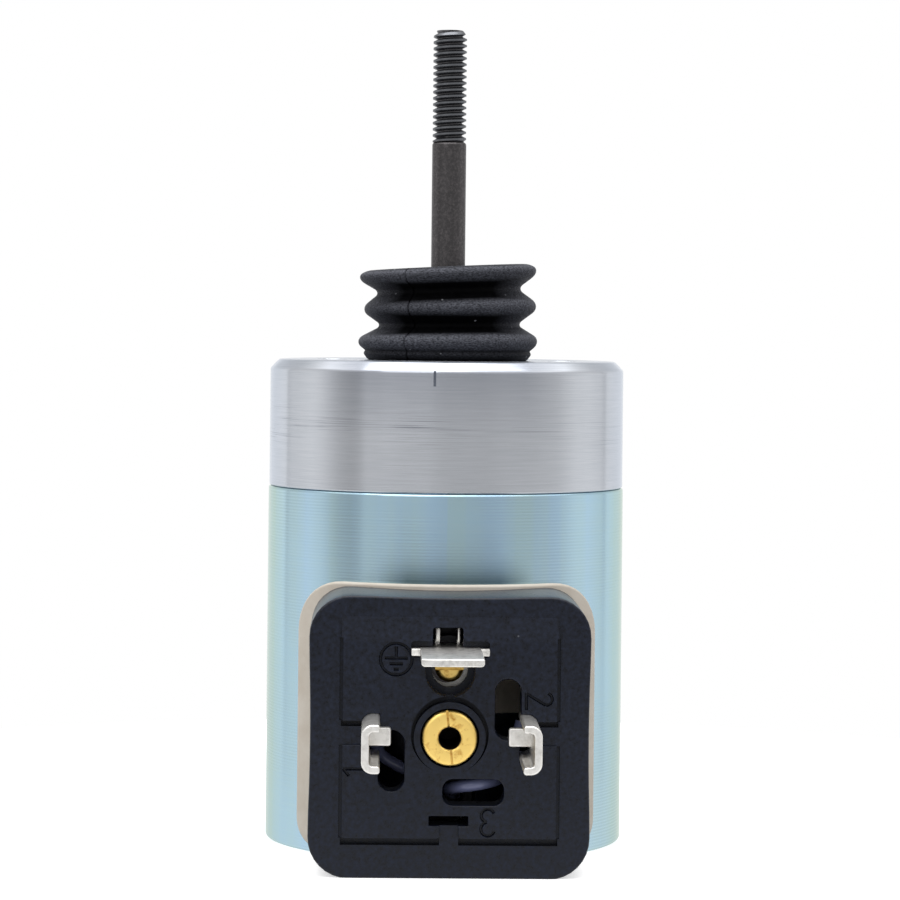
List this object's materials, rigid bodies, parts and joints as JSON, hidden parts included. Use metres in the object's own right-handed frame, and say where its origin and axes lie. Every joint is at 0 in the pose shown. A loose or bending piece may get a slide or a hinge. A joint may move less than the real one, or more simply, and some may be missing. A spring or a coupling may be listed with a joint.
{
  "type": "valve solenoid",
  "caption": "Tubular push solenoid with a steel shell, aluminium end cap, threaded push rod under a rubber bellows, and a square side plug base with flat contacts.",
  "frame": {"origin": "centre of the shell's flat foot, which the solenoid stands on", "axes": "+Z along the push rod towards its threaded tip, -Y out of the plug base"},
  "size_m": [0.04, 0.0638, 0.0911],
  "materials": {
    "zinc_steel": "blue passivated zinc on turned steel",
    "turned_aluminium": "turned, bare",
    "black_rubber": "moulded, matt",
    "bellows_rubber": "moulded, dusty matt",
    "bronze": "sintered",
    "soft_iron": "turned",
    "brass": "turned",
    "bobbin_nylon": "moulded",
    "copper_wire": "enamelled wire, wound in layers",
    "insulating_tape": "polyester film",
    "spring_steel": "drawn",
    "black_oxide_steel": "black oxide, satin",
    "cream_gasket": "flat sheet, matt",
    "black_nylon": "glass filled, moulded",
    "tinned_brass": "tin plated, satin",
    "lead_insulation": "dark blue, smooth"
  },
  "bodies": {
    "housing": {"shell": "zinc_steel", "end_cap": "turned_aluminium", "cap_o_ring": "black_rubber", "front_bush": "bronze", "pole_piece": "soft_iron", "pole_bush": "bronze", "guide_tube": "brass", "bobbin": "bobbin_nylon", "coil_winding": "copper_wire", "coil_wrap": "insulating_tape", "wave_washer": "spring_steel", "stop_pad": "black_rubber", "bellows": "bellows_rubber", "return_spring": "spring_steel", "connector_gasket": "cream_gasket", "connector_base": "black_nylon", "contact_blade_1": "tinned_brass", "contact_blade_2": "tinned_brass", "earth_blade": "tinned_brass", "earth_screw": "brass", "earth_washer": "tinned_brass", "centre_insert": "brass", "wire_grommet": "black_rubber", "lead_wire_1": "lead_insulation", "lead_wire_2": "lead_insulation"},
    "plunger": {"push_rod": "black_oxide_steel", "armature": "soft_iron", "anti_stick_shim": "brass", "lock_nut": "zinc_steel"}
  },
  "joints": [
    {"name": "plunger_slide", "type": "slide", "parent": "housing", "child": "plunger", "axis": [0, 0, 1], "range_m": [0, 0.005], "stiffness_N_per_m": 400, "springref_m": -0.004, "deforming": ["bellows", "return_spring"]}
  ]
}
